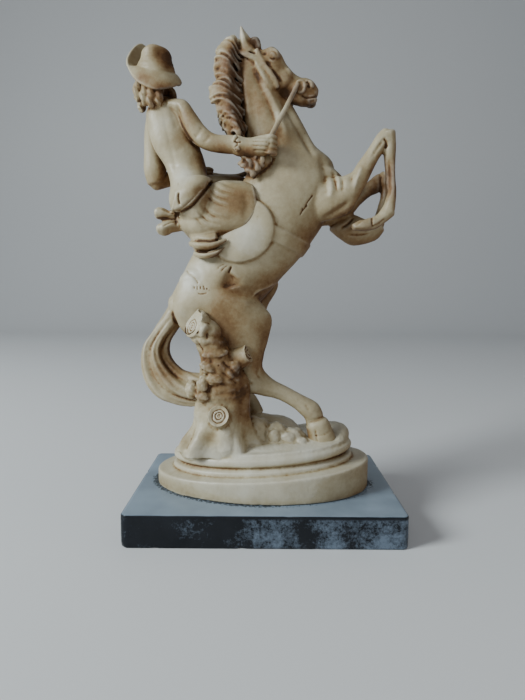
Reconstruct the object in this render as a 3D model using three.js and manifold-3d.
// An equestrian statuette: a rider in a long skirt and a brimmed hat, side-saddle on a rearing horse.
// Horse, rider, tree stump and oval plinth are one cream casting, glued on a dark marble slab.
// Millimetres, +Z up. The origin is the centre of the slab's underside, and the horse faces +X.
// The side of the horse that is seen from -Y carries the stump. The rider's legs hang on the +Y side.
import * as THREE from 'three';
import { mergeVertices } from 'three/addons/utils/BufferGeometryUtils.js';
import Module from 'manifold-3d';

const wasm = await Module();
wasm.setup();

// Marble slab
const SLAB_LENGTH = 150;
const SLAB_WIDTH = 100;
const SLAB_THICKNESS = 18;
const SLAB_CORNER_RADIUS = 3;
const SLAB_EDGE_ROUND = 1;

// Oval plinth of the casting. Its foot was ground off at a slant, so the tiers rise towards +X, and it
// is glued on the slab a little askew. The tiers' sizes are shares of the foot disc's.
const GLUE_GAP = 0.3;
const DISC_LENGTH = 127;
const DISC_WIDTH = 75;
const DISC_HEIGHT = 12.7;
const DISC_EDGE_ROUND = 1.2;
const OVAL_SHIFT = -1.7;
const OVAL_ASKEW = -5;
const TIER_TILT = 4.5;
const SLOPE_RISE = 2.2;
const COVE_RISE = 3.6;
const BEAD_HEIGHT = 5.2;
const GROUND_EDGE_HEIGHT = 2;
const COVE_SHARE = 0.79;
const BEAD_SHARE = 0.843;
const GROUND_SHARE = 0.815;

// Figure. The numbers of its forms are millimetres of a figure that stands 233 above the plinth's ground.
const FIGURE_HEIGHT = 233;
const FIGURE_SCALE = FIGURE_HEIGHT / 233;
const FLAP_THICKNESS = 2.2;
const GIRTH_THICKNESS = 1;
const BRIM_THICKNESS = 1.5;
const REIN_RADIUS = 1.5;
const MANE_WAVES = 11;
const MANE_RELIEF = 1.1;
const FOLD_RELIEF = 1.2;
const TAIL_RELIEF = 0.9;
const CHEEK_RELIEF = 0.9;
const BARK_RELIEF = 0.6;

const OVAL_SIDES = 38;
const TURN = 2 * Math.PI;
const PLINTH_BASE_Z = SLAB_THICKNESS + GLUE_GAP;
const BEAD_BASE = DISC_HEIGHT + SLOPE_RISE + COVE_RISE;
const BEAD_TOP = BEAD_BASE + BEAD_HEIGHT;
const GROUND_Z = PLINTH_BASE_Z + BEAD_TOP + GROUND_EDGE_HEIGHT;

const casting = new THREE.MeshStandardMaterial({ color: 0xcfc6ad, roughness: 0.45, metalness: 0 });
const marble = new THREE.MeshStandardMaterial({ color: 0x2a2f35, roughness: 0.35, metalness: 0 });

// Turns a closed three.js geometry into a solid that can be joined and cut.
function solid(geometry) {
  const bare = new THREE.BufferGeometry();
  bare.setAttribute('position', geometry.getAttribute('position').clone());
  if (geometry.index) bare.setIndex(geometry.index.clone());
  const merged = mergeVertices(bare, 1e-4);
  const positions = merged.getAttribute('position').array;
  const index = merged.index.array;
  const triangles = [];
  for (let i = 0; i < index.length; i += 3) {
    const [a, b, c] = [index[i], index[i + 1], index[i + 2]];
    if (a !== b && b !== c && c !== a) triangles.push(a, b, c);
  }
  return new wasm.Manifold(
    new wasm.Mesh({
      numProp: 3,
      vertProperties: new Float32Array(positions),
      triVerts: new Uint32Array(triangles),
    }),
  );
}

// Turns a solid back into a three.js geometry.
function geometryOf(shape) {
  const mesh = shape.getMesh();
  const geometry = new THREE.BufferGeometry();
  geometry.setAttribute('position', new THREE.BufferAttribute(mesh.vertProperties, 3));
  geometry.setIndex(new THREE.BufferAttribute(mesh.triVerts, 1));
  geometry.computeVertexNormals();
  return geometry;
}

function joined(shapes) {
  return shapes.reduce((whole, shape) => whole.add(shape));
}

// Skins a stack of rings that all have the same number of points, closed by a point at each end.
function skin(rings, first, last) {
  const sides = rings[0].length;
  const points = [first, ...rings.flat(), last];
  const index = [];
  const at = (ring, side) => 1 + ring * sides + (side % sides);
  for (let side = 0; side < sides; side += 1) {
    index.push(0, at(0, side + 1), at(0, side));
    for (let ring = 0; ring < rings.length - 1; ring += 1) {
      index.push(at(ring, side), at(ring, side + 1), at(ring + 1, side));
      index.push(at(ring, side + 1), at(ring + 1, side + 1), at(ring + 1, side));
    }
    index.push(points.length - 1, at(rings.length - 1, side), at(rings.length - 1, side + 1));
  }
  let volume = 0;
  for (let i = 0; i < index.length; i += 3) {
    const [a, b, c] = [points[index[i]], points[index[i + 1]], points[index[i + 2]]];
    volume += a.dot(b.clone().cross(c));
  }
  if (volume < 0) index.reverse();
  const geometry = new THREE.BufferGeometry();
  geometry.setAttribute(
    'position',
    new THREE.Float32BufferAttribute(points.flatMap((p) => [p.x, p.y, p.z]), 3),
  );
  geometry.setIndex(index);
  return solid(geometry);
}

// A smooth run through rows of numbers, at t from 0 to 1.
function along(rows, t) {
  const place = Math.min(t, 0.999999) * (rows.length - 1);
  const i = Math.floor(place);
  const f = place - i;
  const row = (n) => rows[Math.max(0, Math.min(rows.length - 1, n))];
  return rows[0].map((_, k) => {
    const [a, b, c, d] = [row(i - 1)[k], row(i)[k], row(i + 1)[k], row(i + 2)[k]];
    return 0.5 * (2 * b + (c - a) * f + (2 * a - 5 * b + 4 * c - d) * f * f
      + (3 * b - a - 3 * c + d) * f * f * f);
  });
}

// A point of the figure, from its own millimetres, with z above the ground of the plinth.
function figurePoint(x, y, z) {
  return new THREE.Vector3(x * FIGURE_SCALE, y * FIGURE_SCALE, GROUND_Z + z * FIGURE_SCALE);
}

// One carved form. Each row holds the two edges of the form in side view, as x, z of the upper or outer
// edge and x, z of the lower or inner edge, then its place to the side, y, and its half-width.
// ends gives how far each end is rounded out, as a share of its size, and 0 leaves it flat.
// relief(t, angle) stands out from the surface, in millimetres, and grow thickens the whole form.
function form(rows, { rings, sides, square = 2, ends = [0.5, 0.5], grow = 0, relief = () => 0 }) {
  const section = (t) => {
    const [ax, az, bx, bz, y, half] = along(rows, t);
    const centre = new THREE.Vector3((ax + bx) / 2, y, (az + bz) / 2);
    const across = new THREE.Vector3((ax - bx) / 2, 0, (az - bz) / 2);
    return { t, centre, across, half };
  };
  const bend = (v) => Math.sign(v) * Math.abs(v) ** (2 / square);
  const ring = ({ t, centre, across, half }, shrink) => {
    const points = [];
    const depth = across.length();
    const way = across.clone().normalize();
    for (let side = 0; side < sides; side += 1) {
      const angle = (side / sides) * TURN;
      const bump = relief(t, angle) + grow;
      const up = bend(Math.cos(angle)) * (depth + bump) * shrink;
      const out = bend(Math.sin(angle)) * (half + bump) * shrink;
      const p = centre.clone().addScaledVector(way, up);
      points.push(figurePoint(p.x, p.y - out, p.z));
    }
    return points;
  };
  const stack = [];
  for (let k = 0; k < rings; k += 1) stack.push(ring(section(k / (rings - 1)), 1));
  const close = (t, inner, share) => {
    const end = section(t);
    const way = end.centre.clone().sub(section(inner).centre).normalize();
    const reach = share * end.across.length() + grow;
    const moved = (length) => end.centre.clone().addScaledVector(way, length);
    const cap = ring({ ...end, centre: moved(reach * 0.7) }, 0.7);
    const { x, y, z } = moved(share > 0 ? reach : 0);
    return { cap: share > 0 ? [cap] : [], tip: figurePoint(x, y, z) };
  };
  const first = close(0, 0.03, ends[0]);
  const last = close(1, 0.97, ends[1]);
  return skin([...first.cap, ...stack, ...last.cap], first.tip, last.tip);
}

// A round strand through points [x, y, z, radius], with pointed or blunt ends.
function strand(points, { rings, sides, flat = 1, blunt = 0.8 }) {
  const frameAt = (t) => {
    const [x, y, z, radius] = along(points, t);
    const before = new THREE.Vector3(...along(points, Math.max(0, t - 0.02)));
    const way = new THREE.Vector3(...along(points, Math.min(1, t + 0.02))).sub(before).normalize();
    const side = new THREE.Vector3(0, 1, 0).addScaledVector(way, -way.y).normalize();
    return { centre: new THREE.Vector3(x, y, z), way, side, up: way.clone().cross(side), radius };
  };
  const ring = ({ centre, side, up, radius }) => {
    const loop = [];
    for (let k = 0; k < sides; k += 1) {
      const angle = (k / sides) * TURN;
      const p = centre.clone().addScaledVector(side, -Math.sin(angle) * radius * flat)
        .addScaledVector(up, -Math.cos(angle) * radius);
      loop.push(figurePoint(p.x, p.y, p.z));
    }
    return loop;
  };
  const tip = (t, way) => {
    const end = frameAt(t);
    const { x, y, z } = end.centre.addScaledVector(end.way, way * blunt * end.radius);
    return figurePoint(x, y, z);
  };
  const stack = [];
  for (let k = 0; k < rings; k += 1) stack.push(ring(frameAt(k / (rings - 1))));
  return skin(stack, tip(0, -1), tip(1, 1));
}

// A lump of an egg's shape, with its centre, its three half-sizes and a turn about the y axis in degrees.
function lump([x, y, z], [sx, sy, sz], { turn = 0, sides = 10, rings = 6 } = {}) {
  const geometry = new THREE.SphereGeometry(FIGURE_SCALE, sides, rings);
  geometry.scale(sx, sy, sz);
  geometry.rotateY(THREE.MathUtils.degToRad(turn));
  const place = figurePoint(x, y, z);
  geometry.translate(place.x, place.y, place.z);
  return solid(geometry);
}

// A plate through the whole figure from side to side, cut to an outline in side view.
function sidePlate(draw, halfWidth) {
  const outline = new THREE.Shape();
  draw(outline);
  const geometry = new THREE.ExtrudeGeometry(outline, {
    depth: 2 * halfWidth, bevelEnabled: false, curveSegments: 7,
  });
  geometry.translate(0, 0, -halfWidth);
  geometry.rotateX(TURN / 4);
  geometry.scale(FIGURE_SCALE, FIGURE_SCALE, FIGURE_SCALE);
  geometry.translate(0, 0, GROUND_Z);
  return solid(geometry);
}

// The stepped oval plinth: a foot disc, a cove, a bead and the edge of the ground.
function ovalPlinth() {
  const edge = DISC_EDGE_ROUND / (DISC_LENGTH / 2);
  const profile = [
    [1, DISC_HEIGHT - DISC_EDGE_ROUND],
    [1 - edge, DISC_HEIGHT],
    [COVE_SHARE + 0.02, DISC_HEIGHT + SLOPE_RISE],
    [COVE_SHARE, BEAD_BASE],
    [BEAD_SHARE, BEAD_BASE + BEAD_HEIGHT * 0.5],
    [GROUND_SHARE - 0.01, BEAD_TOP],
    [GROUND_SHARE - 0.025, BEAD_TOP + GROUND_EDGE_HEIGHT],
  ];
  const tilt = Math.tan(THREE.MathUtils.degToRad(TIER_TILT));
  const askew = THREE.MathUtils.degToRad(OVAL_ASKEW);
  const at = (share, angle, rise, slant) => {
    const point = new THREE.Vector3(
      (DISC_LENGTH / 2) * share * Math.cos(angle),
      (DISC_WIDTH / 2) * share * Math.sin(angle),
      0,
    ).applyAxisAngle(new THREE.Vector3(0, 0, 1), askew);
    point.z = PLINTH_BASE_Z + rise + slant * point.x;
    point.x += OVAL_SHIFT;
    return point;
  };
  const ring = (share, rise, slant) => {
    const points = [];
    for (let side = 0; side < OVAL_SIDES; side += 1) {
      points.push(at(share, (side / OVAL_SIDES) * TURN, rise, slant));
    }
    return points;
  };
  const rings = profile.map(([share, rise]) => ring(share, rise, tilt));
  return skin([ring(1, 0, 0), ...rings], at(0, 0, 0, 0), at(0, 0, BEAD_TOP + GROUND_EDGE_HEIGHT, 0));
}

// The uneven ground on the plinth, its raised lip behind the hoof, and the stones beside the stump.
function ground() {
  const lip = strand([
    [20, 20, -1, 4],
    [36, 17, 1.5, 5],
    [45, 8, 3, 5.5],
    [45.5, -2, 3, 5],
    [42, -12, 0, 4],
  ], { rings: 6, sides: 6 });
  return joined([
    lump([3, -1, -2], [46, 27, 5.5], { turn: -3, sides: 14, rings: 4 }),
    lump([-3, 9, 0], [27, 13, 14], { sides: 8, rings: 4 }),
    lump([-38, -4, -4], [13, 17, 8], { sides: 8, rings: 4 }),
    lip,
    lump([-2, -8, 8], [6, 6, 11], { turn: -8, sides: 6, rings: 4 }),
    lump([8, -9, 6], [5, 4, 8.5], { turn: 12, sides: 6, rings: 4 }),
    lump([17, -13, 6], [5.4, 4, 4.6], { sides: 6, rings: 4 }),
    lump([9, -17, 1], [8, 5, 3.5], { sides: 6, rings: 4 }),
  ]);
}

// The tree stump that holds the horse up, with its roots and its sawn-off branches.
function stump() {
  const trunk = form([
    [-48, -4, 0, -4, -13, 13],
    [-41.5, 12, -8, 12, -13.5, 11.5],
    [-40.5, 24, -8.5, 24, -13.5, 10.5],
    [-38.5, 37, -9, 36, -13.5, 10.5],
    [-36.5, 48, -13.5, 46, -14, 10],
    [-38.5, 57, -20, 57, -15, 9],
    [-42.5, 64.5, -26.5, 68.5, -16, 7.5],
    [-44.5, 68, -36, 77, -16, 5.5],
  ], {
    rings: 9, sides: 12, ends: [0, 0], relief: (t, a) => BARK_RELIEF * Math.cos(5 * a + 7 * t),
  });
  const rightBranch = form([
    [-28, 56, -24, 42, -14, 6.5],
    [-17.5, 57, -14, 44.5, -15, 6.5],
    [-11, 59, -7, 50, -17, 5.6],
  ], { rings: 3, sides: 8, ends: [0, 0] });
  const lowBranch = strand([[-22, -14, 14, 6.5], [-24.5, -21, 17.5, 5.6], [-25.5, -27, 20.5, 5.2]], {
    rings: 3, sides: 10, blunt: 0,
  });
  const stub = strand([[-24, -16, 19, 6], [-26, -22, 12, 5.4]], { rings: 2, sides: 8 });
  return joined([
    trunk, rightBranch, lowBranch, stub,
    lump([-40, -18, 33], [4.5, 5, 6.5], { sides: 6, rings: 4 }),
    lump([-33, -21, 45], [5, 4, 6], { turn: 20, sides: 6, rings: 4 }),
    lump([-45, -15, 3], [6.5, 8, 8], { turn: 15, sides: 7, rings: 4 }),
    lump([-31, -21, 3], [6.5, 6, 8], { turn: -10, sides: 7, rings: 4 }),
  ]);
}

function horseTrunk({ rings = 9, sides = 16, grow = 0 } = {}) {
  return form([
    [-55, 86, -40, 64, 0, 10],
    [-49, 97, -16, 70, 0, 16],
    [-42, 110, -2, 84, 0, 17],
    [-32, 123, 9, 96.5, 0, 17],
    [-23, 135, 19.5, 108, 0, 18],
    [-16, 146, 27, 118.5, 0, 17.5],
    [-10.5, 156, 34.5, 130, 0, 16.5],
    [-2.5, 164, 41, 142, 0, 14.5],
    [12, 166, 43, 151, 0, 10],
  ], { rings, sides, grow, ends: [0.5, 0.3] });
}

function horseNeck() {
  return form([
    [-9, 143, 39, 144, 0, 15],
    [-12, 160, 37.5, 161, 0, 13],
    [-12, 173.5, 26.5, 171, 0, 10.8],
    [-13.5, 187, 17.5, 184.5, 0, 9],
    [-15.5, 200, 10.5, 195.5, 0, 7.8],
    [-16, 212, 4, 203, 0, 7],
    [-13.5, 221, -2, 213, 0, 5.5],
  ], { rings: 8, sides: 13 });
}

function horseHead() {
  const skull = form([
    [-10, 226, -12, 215, 0, 5],
    [-3, 222.5, -8.5, 211.5, 0, 6.4],
    [2.6, 222, -4.8, 207, 0, 7],
    [7.4, 219, -0.8, 203.3, 0, 6.8],
    [10.5, 214, 3.2, 200, 0, 6],
    [14.6, 209.5, 8, 196.5, 0, 5],
    [18.4, 207, 12, 194, 0, 4.6],
    [22, 206.5, 15.5, 192.8, 0, 5],
    [25.4, 205, 19, 192, 0, 5.2],
    [28, 201.5, 23, 191.8, 0, 4.4],
  ], {
    rings: 11,
    sides: 10,
    square: 2.3,
    ends: [0, 0.4],
    relief: (t) => CHEEK_RELIEF * Math.exp(-(((t - 0.27) / 0.12) ** 2)),
  });
  const features = [];
  for (const side of [-1, 1]) {
    features.push(
      lump([3.8, side * 6, 215], [2.7, 2.2, 2], { turn: 35, sides: 6, rings: 4 }),
      lump([23, side * 4.2, 202.4], [2.7, 1.7, 2], { turn: 35, sides: 6, rings: 4 }),
    );
  }
  const nearEar = form([
    [-14.8, 218, -5.5, 218, -4, 2.8],
    [-14.9, 226.5, -9.4, 226, -4.4, 2.2],
    [-14.4, 231, -12.6, 230.6, -4.6, 0.9],
  ], { rings: 4, sides: 6, ends: [0, 1.6] });
  const farEar = form([
    [-9.5, 218, -2.6, 221, 3.5, 2.4],
    [-8.4, 226.5, -4, 227, 4, 2],
    [-7.8, 230, -6.2, 229.8, 4.4, 0.8],
  ], { rings: 3, sides: 6, ends: [0, 1] });
  const forelock = strand([[-9, 0, 222, 3], [-3, -1, 222.5, 2.6], [2, -2, 221, 1.2]], {
    rings: 3, sides: 6,
  });
  return joined([skull, ...features, nearEar, farEar, forelock]);
}

// The mane hangs over both sides of the crest in thick waves, which run across it.
function mane() {
  return form([
    [-20.5, 225.5, -14, 221, 0, 5.5],
    [-25.5, 220, -14.5, 216, 0, 7.6],
    [-26.5, 212, -15, 207.5, 0, 8.4],
    [-26, 204, -14.5, 200, 0, 9],
    [-28.5, 194, -13, 192, 0, 9.6],
    [-25.5, 188, -11.5, 184.5, 0, 10.6],
    [-23, 181.5, -10.3, 178, 0, 11.6],
    [-19.5, 175, -8.5, 172, 0, 12.6],
    [-15.5, 164.5, -6.5, 163, 0, 13],
    [-11.5, 158.5, -4, 158, 0, 13],
    [-6, 152, -3, 155, 0, 12],
  ], {
    rings: MANE_WAVES * 2,
    sides: 8,
    ends: [0.6, 0],
    relief: (t, a) => {
      const wander = 1.6 * Math.cos(a) + 0.9 * Math.sin(3 * a);
      return MANE_RELIEF * Math.cos(TURN * MANE_WAVES * t + wander);
    },
  });
}

// The forelegs are folded at the knee, so a forearm, a cannon and a hoof make up each of them.
function foreLegs() {
  const nearForearm = form([
    [27, 154, 25, 127, -4, 10],
    [41.5, 152.5, 39.5, 130, -9, 7],
    [48, 154.5, 46.5, 135.5, -10, 5.8],
    [52, 160, 53, 146, -10.5, 5],
    [56.5, 167, 57.5, 155, -11, 4.4],
    [61, 174, 61.8, 162.5, -11, 4.2],
    [65.5, 176.5, 65.5, 166.5, -11, 4.4],
  ], { rings: 7, sides: 8, ends: [0.4, 0.5] });
  const nearCannon = form([
    [61.5, 173, 70, 175.5, -11, 4.4],
    [62.5, 166, 70.6, 168, -11, 4],
    [64.6, 158, 70.5, 160.5, -11, 3.2],
    [65, 149, 70.6, 149, -11, 3],
    [64.6, 141, 70.8, 142.5, -11, 3.4],
    [62, 134.5, 70, 133, -11, 4],
  ], { rings: 6, sides: 8 });
  const nearHoof = form([
    [63, 136, 70, 130, -11, 4],
    [58.6, 131, 64, 126, -11, 3.6],
    [54.6, 130.8, 58.8, 123.4, -11, 4.4],
    [48.5, 131, 50.5, 122, -11, 5.2],
  ], { rings: 4, sides: 8, ends: [0.4, 0.2] });
  const farForearm = form([
    [27, 150, 27, 126, 5, 10],
    [49.5, 146, 47, 130, 9, 6],
    [56, 152, 53.4, 138, 10, 5],
    [62, 158.5, 61, 145.5, 10.5, 4.4],
    [70, 159.5, 69, 149, 11, 4.4],
  ], { rings: 6, sides: 8 });
  const farCannon = form([
    [66, 157, 74, 158, 11, 4.2],
    [65.6, 148, 73.6, 149, 11, 3.8],
    [64.4, 138, 71.4, 138, 11, 3.2],
    [61.5, 127.5, 70, 128, 11, 4.2],
  ], { rings: 4, sides: 8 });
  const farHoof = form([
    [62, 129, 69, 122, 11, 4],
    [56.3, 127, 63.5, 118.5, 11, 3.8],
    [48.5, 130.5, 52, 116, 10, 5],
    [39, 131.5, 40.5, 121.5, 9, 5.4],
  ], { rings: 4, sides: 8, ends: [0.4, 0.2] });
  return joined([nearForearm, nearCannon, nearHoof, farForearm, farCannon, farHoof]);
}

function hindLegs() {
  const near = form([
    [-49.5, 93, -12, 102, -7, 8],
    [-52.5, 81, -4, 84.5, -8.5, 9.5],
    [-49, 67.5, 3.5, 74, -9, 9.5],
    [-37.5, 57.5, 2, 62.5, -9, 8],
    [-23, 49, -0.5, 52.5, -9, 6.4],
    [-15, 41, -1.5, 45.5, -9, 5.2],
    [-12, 31.5, 2, 40.5, -9, 4.8],
    [-3.5, 29, 6.8, 37, -9, 4.2],
    [7, 26.5, 12, 34.3, -9, 3.6],
    [16, 21.8, 21.6, 29.2, -9, 3.8],
    [20.8, 17.5, 30, 24.8, -9, 4.6],
    [23.8, 14, 35, 18.5, -9, 4.2],
  ], { rings: 14, sides: 10, ends: [0.5, 0] });
  const nearHoof = form([
    [24, 16, 34.6, 18, -9, 4.2],
    [25.4, 10.5, 37.6, 12.5, -9, 4.8],
    [28.5, 2, 42.5, 2, -9, 6],
  ], { rings: 3, sides: 10, ends: [0.3, 0] });
  const far = form([
    [-45, 90, -2, 106, 7, 8],
    [-49, 78, 7.5, 93.5, 8.5, 9.5],
    [-41, 64, 1, 79, 9, 8.5],
    [-31, 56, -2, 65, 10, 7.5],
    [-24, 46.5, -8, 53, 10, 6],
    [-23, 35, -9.5, 37.5, 10, 5],
    [-17.5, 26.5, -8.5, 29.5, 10, 4.2],
    [-11, 20, -3, 24, 10, 4.2],
    [-9, 10, 3, 15, 10, 5.4],
  ], { rings: 10, sides: 9, ends: [0.5, 0] });
  return joined([near, nearHoof, far]);
}

function tail() {
  return form([
    [-53.5, 86, -46, 74, -1, 4.5],
    [-60, 74.5, -51.5, 66.5, -1, 6],
    [-66, 65, -56, 60, -1, 6.8],
    [-71, 57, -57, 53.5, -2, 7.4],
    [-72.5, 47, -54.5, 48, -3, 8],
    [-70.5, 36.5, -49, 43, -4, 8.5],
    [-64, 28, -44, 41.5, -6, 8.5],
    [-54, 24, -39.5, 41, -8, 8],
    [-42, 21, -34, 40.5, -10, 6],
  ], {
    rings: 11,
    sides: 12,
    ends: [0, 0],
    relief: (t, a) => TAIL_RELIEF * Math.min(1, 4 * t) * Math.cos(5 * a + 2.5 * t),
  });
}

// The saddle flaps and the girth lie on the horse's barrel, so they are cut out of a thicker barrel.
function saddleAndGirth() {
  const flap = sidePlate((o) => {
    o.moveTo(-14, 150);
    o.lineTo(-5.5, 138);
    o.bezierCurveTo(0, 136, 5.4, 130, 4.4, 121);
    o.bezierCurveTo(3, 111, -6, 104, -16, 104);
    o.bezierCurveTo(-23, 104.5, -27, 108, -30, 113);
    o.lineTo(-40, 132);
    o.closePath();
  }, 40);
  const girth = sidePlate((o) => {
    o.moveTo(-4, 128);
    o.lineTo(27, 115);
    o.lineTo(25, 106.5);
    o.lineTo(-6, 120);
    o.closePath();
  }, 40);
  return joined([
    horseTrunk({ grow: FLAP_THICKNESS }).intersect(flap),
    horseTrunk({ grow: GIRTH_THICKNESS }).intersect(girth),
    lump([-3.5, -9, 156.5], [6, 6, 6.5], { turn: 25, sides: 8, rings: 5 }),
  ]);
}

// The fitted jacket ends in a flared tail, whose hem slopes down to the rider's left.
function torso() {
  const jacket = form([
    [-64, 192, -53.5, 195, -1, 4],
    [-67.5, 187, -47, 190.5, -1, 7],
    [-66.5, 178, -43, 180, -1, 8.5],
    [-63.5, 168, -37.5, 168.5, -1.5, 8.8],
    [-57, 158, -34.5, 159, -2, 8.4],
    [-53.5, 148, -33.5, 152, -3.5, 11.5],
    [-55.5, 136, -32.5, 147, -5, 16.5],
  ], { rings: 8, sides: 12, ends: [0.4, 0.12] });
  const bust = lump([-53, 6, 176], [8.5, 6, 7], { turn: 10, sides: 8, rings: 5 });
  const neck = strand([[-60, 0, 190, 4.2], [-62.5, 0.5, 199, 3.8]], { rings: 2, sides: 8, blunt: 0 });
  return joined([jacket, bust, neck]);
}

function arms() {
  const right = form([
    [-55, 194, -53, 186, -3, 5.5],
    [-45, 192.5, -49, 184, -6, 5.5],
    [-39, 185, -45.5, 176.5, -8.5, 5.2],
    [-34, 178, -40.5, 169.5, -10, 5],
    [-28, 173.3, -33, 165, -11.5, 4.8],
    [-19, 172.3, -24, 163, -13, 4.8],
    [-13, 171.8, -14.5, 162.3, -14.5, 4.8],
  ], { rings: 8, sides: 9, ends: [0.3, 0] });
  const glove = form([
    [-18, 170, -18.5, 164, -14, 3.4],
    [-12, 170.8, -12.5, 163, -15, 4],
    [-9, 171.6, -9.5, 162.4, -15.5, 4.4],
    [-4, 172.8, -4.5, 160.8, -16.5, 5.4],
    [0.5, 171.5, 0, 161.8, -17.5, 4.8],
    [3, 169, 2.6, 163, -18, 3.6],
  ], { rings: 6, sides: 8, ends: [0, 0.2] });
  const left = form([
    [-67.5, 190, -59, 192, 2, 4.5],
    [-70, 180, -60.5, 180, 5, 5],
    [-71, 169.5, -60, 169.5, 7, 5],
    [-71.5, 158, -58.5, 159, 8, 5.2],
    [-70, 151.5, -60, 152, 8.5, 4.8],
  ], { rings: 5, sides: 8 });
  const forearm = strand([
    [-65, 9, 152, 4.6],
    [-57, 14, 155, 4.2],
    [-48, 17, 158, 3.6],
    [-41, 18, 159, 3.2],
    [-36, 18, 159.5, 3],
  ], { rings: 5, sides: 7 });
  return joined([right, glove, left, forearm]);
}

function riderHead() {
  const skull = lump([-62.5, 1, 203], [7.4, 8.4, 10], { sides: 9, rings: 6 });
  const chin = lump([-62.5, 6, 197], [3.8, 3.4, 3.6], { sides: 6, rings: 4 });
  const nose = lump([-62.5, 9.2, 202], [1.2, 1.7, 2.2], { sides: 6, rings: 4 });
  const roots = [
    [-72.8, -3, 205, 12],
    [-67, -7.6, 201, 12],
    [-61.4, -8.6, 200, 9.5],
    [-56.3, -6, 200, 6],
    [-71, 4, 204, 13],
    [-54, 2, 203, 12],
  ];
  const curls = roots.map(([x, y, z, length]) => strand([
    [x - 0.35 * (x + 62.5), y * 0.8, z + 0.5, 2],
    [x, y, z - length * 0.35, 2.8],
    [x - 0.3, y * 1.1, z - length * 0.75, 2.6],
    [x, y, z - length, 1.8],
  ], { rings: 4, sides: 5 }));
  return joined([skull, chin, nose, ...curls]);
}

// The hat has a round crown. Its brim is turned up at the rider's left and droops behind and at the right.
function hat() {
  const crown = form([
    [-67.5, 205, -51, 202.5, -0.5, 9],
    [-67.2, 214, -52.4, 210, -0.5, 9],
    [-66.3, 220, -52.8, 217, -0.5, 8],
    [-64, 223.6, -55.5, 221.5, -0.5, 5.5],
  ], { rings: 4, sides: 10, ends: [0, 0.15] });
  const edge = [
    [-48, -2, 203.8],
    [-51, 8, 206],
    [-60, 12, 212],
    [-72.5, 8, 229],
    [-77, 0, 216],
    [-71, -8.5, 202],
    [-61, -12.5, 196.8],
    [-52.5, -10, 198.4],
  ];
  const around = [...edge, ...edge, ...edge];
  const brimPoint = (share, turn, lift) => {
    const [x, y, z] = along(around, (turn * edge.length + edge.length) / (around.length - 1));
    const [cos, sin] = [Math.cos(turn * TURN), Math.sin(turn * TURN)];
    const reach = 13 + 3 * Math.max(0, -cos);
    const fill = 9 * Math.max(0, -cos) ** 2;
    const inner = [-60 + 7 * cos, 7 * sin, 205.5 - 1.4 * cos + fill];
    const bulge = [-60 + reach * cos, reach * sin, 204.5 - 1.8 * cos + 0.6 * fill];
    const [a, b, c] = [(1 - share) ** 2, 2 * share * (1 - share), share ** 2];
    const out = new THREE.Vector3(
      a * inner[0] + b * bulge[0] + c * x,
      a * inner[1] + b * bulge[1] + c * y,
      a * inner[2] + b * bulge[2] + c * z,
    );
    const inward = new THREE.Vector3(-60, 0, 222).sub(out).normalize();
    return out.addScaledVector(inward, lift);
  };
  const sides = 16;
  const ring = (share, lift) => {
    const points = [];
    for (let k = 0; k < sides; k += 1) {
      const { x, y, z } = brimPoint(share, k / sides, lift);
      points.push(figurePoint(x, y, z));
    }
    return points;
  };
  const steps = [0.3, 0.68, 1];
  const under = steps.map((share) => ring(share, 0));
  const over = [...steps].reverse().map((share) => ring(share, BRIM_THICKNESS));
  return joined([crown, skin([...under, ...over], figurePoint(-60, 0, 205.5), figurePoint(-60, 0, 207.5))]);
}

// The skirt is drawn tight over the rider's hip and thigh in long folds, and hangs down on the far side.
function skirt() {
  const seat = form([
    [-7.5, 151, -3, 131, 1, 15],
    [-18, 153.5, -6.5, 122, 1, 19],
    [-30, 153.5, -15, 115.5, 1, 20.5],
    [-38, 149, -25, 113, 1, 20.5],
    [-45, 141.5, -34, 113.5, 1, 19],
    [-51, 134, -42.5, 118, 1, 14],
  ], {
    rings: 7,
    sides: 18,
    square: 2.4,
    ends: [0.15, 0.3],
    relief: (t, a) => FOLD_RELIEF * Math.sin(Math.PI * t) ** 0.7 * Math.cos(6 * a + 3 * t),
  });
  const rolls = [
    [[-42, -13, 118.5, 2], [-29, -18.5, 116, 3], [-17, -18, 118.5, 2]],
    [[-41.5, -12, 113.5, 2], [-31, -16.5, 111.3, 3], [-19, -16, 113.3, 2]],
    [[-38.5, -13, 108.8, 1.4], [-27, -15.5, 107.6, 2.2]],
  ].map((points) => strand(points, { rings: 3, sides: 6 }));
  const drape = form([
    [-34, 156, -30, 140, 8, 8],
    [-16, 157, -12, 140, 15, 8],
    [-3, 150, -16, 136, 20, 7.5],
    [2, 134, -18, 130, 23, 6.5],
    [4, 118, -20, 116, 23.5, 6.5],
    [5, 103, -20, 104, 24, 6.5],
  ], {
    rings: 6, sides: 12, ends: [0.3, 0], relief: (t, a) => FOLD_RELIEF * 0.7 * t * Math.cos(4 * a),
  });
  const foot = form([
    [-9, 106, -2, 100, 24, 3],
    [-5, 100.5, -0.5, 95, 25, 3],
    [2, 98.5, 2.5, 93, 26, 2.6],
  ], { rings: 3, sides: 7 });
  return joined([seat, ...rolls, drape, foot]);
}

// The two-lobed knot of cloth at the back of the skirt.
function bow() {
  const upper = strand([[-46, -6, 129, 3], [-56, -6, 132, 3.4], [-60.5, -6, 132, 3.6]], {
    rings: 3, sides: 8,
  });
  const lower = strand([[-46, -6, 126.5, 3], [-56, -6, 125.5, 3.2], [-59.5, -6, 123.6, 3.4]], {
    rings: 3, sides: 8,
  });
  return joined([upper, lower]);
}

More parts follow.
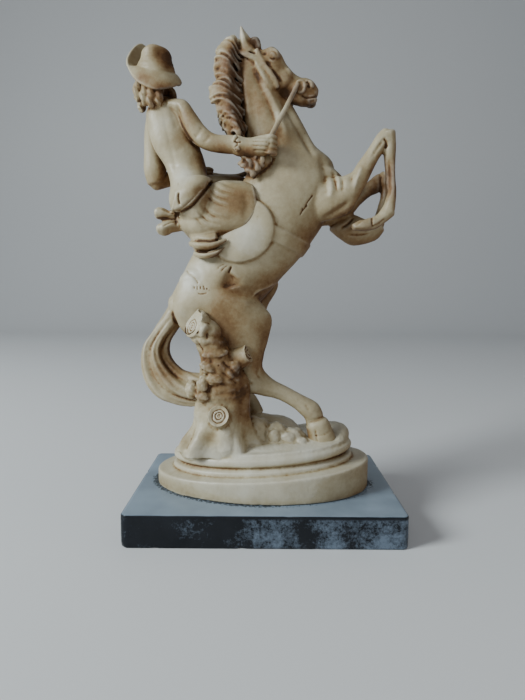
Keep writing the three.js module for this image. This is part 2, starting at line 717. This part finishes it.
function reins() {
  const rows = (side) => [
    [19, side * 5, 202.5, REIN_RADIUS],
    [14.5, side * 7.5, 195, REIN_RADIUS],
    [8.5, side * 12, 183, REIN_RADIUS * 1.2],
    [2, side * 16.5, 169, REIN_RADIUS * 1.2],
  ];
  const near = strand(rows(-1), { rings: 4, sides: 5 });
  const far = strand([...rows(1), [-16, 18, 158, REIN_RADIUS], [-38, 18, 159, REIN_RADIUS]], {
    rings: 7, sides: 5,
  });
  return joined([near, far]);
}

function castFigure() {
  return joined([
    ovalPlinth(), ground(), stump(),
    horseTrunk(), horseNeck(), horseHead(), mane(), foreLegs(), hindLegs(), tail(),
    saddleAndGirth(), torso(), arms(), riderHead(), hat(), skirt(), bow(), reins(),
  ]);
}

// A rectangular slab with rounded upright corners and eased edges.
function marbleSlab() {
  const half = { x: SLAB_LENGTH / 2 - SLAB_EDGE_ROUND, y: SLAB_WIDTH / 2 - SLAB_EDGE_ROUND };
  const corner = SLAB_CORNER_RADIUS - SLAB_EDGE_ROUND;
  const outline = new THREE.Shape();
  outline.moveTo(-half.x + corner, -half.y);
  outline.lineTo(half.x - corner, -half.y);
  outline.absarc(half.x - corner, -half.y + corner, corner, -TURN / 4, 0);
  outline.lineTo(half.x, half.y - corner);
  outline.absarc(half.x - corner, half.y - corner, corner, 0, TURN / 4);
  outline.lineTo(-half.x + corner, half.y);
  outline.absarc(-half.x + corner, half.y - corner, corner, TURN / 4, TURN / 2);
  outline.lineTo(-half.x, -half.y + corner);
  outline.absarc(-half.x + corner, -half.y + corner, corner, TURN / 2, (3 * TURN) / 4);
  const geometry = new THREE.ExtrudeGeometry(outline, {
    depth: SLAB_THICKNESS - 2 * SLAB_EDGE_ROUND,
    bevelThickness: SLAB_EDGE_ROUND,
    bevelSize: SLAB_EDGE_ROUND,
    bevelSegments: 1,
    curveSegments: 3,
  });
  geometry.translate(0, 0, SLAB_EDGE_ROUND);
  return geometryOf(solid(geometry));
}

function named(name, geometry, material) {
  const mesh = new THREE.Mesh(geometry, material);
  mesh.name = name;
  return mesh;
}

const statuette = new THREE.Group();
statuette.add(named('marble_slab', marbleSlab(), marble));
statuette.add(named('horse_and_rider', geometryOf(castFigure()), casting));

export default statuette;
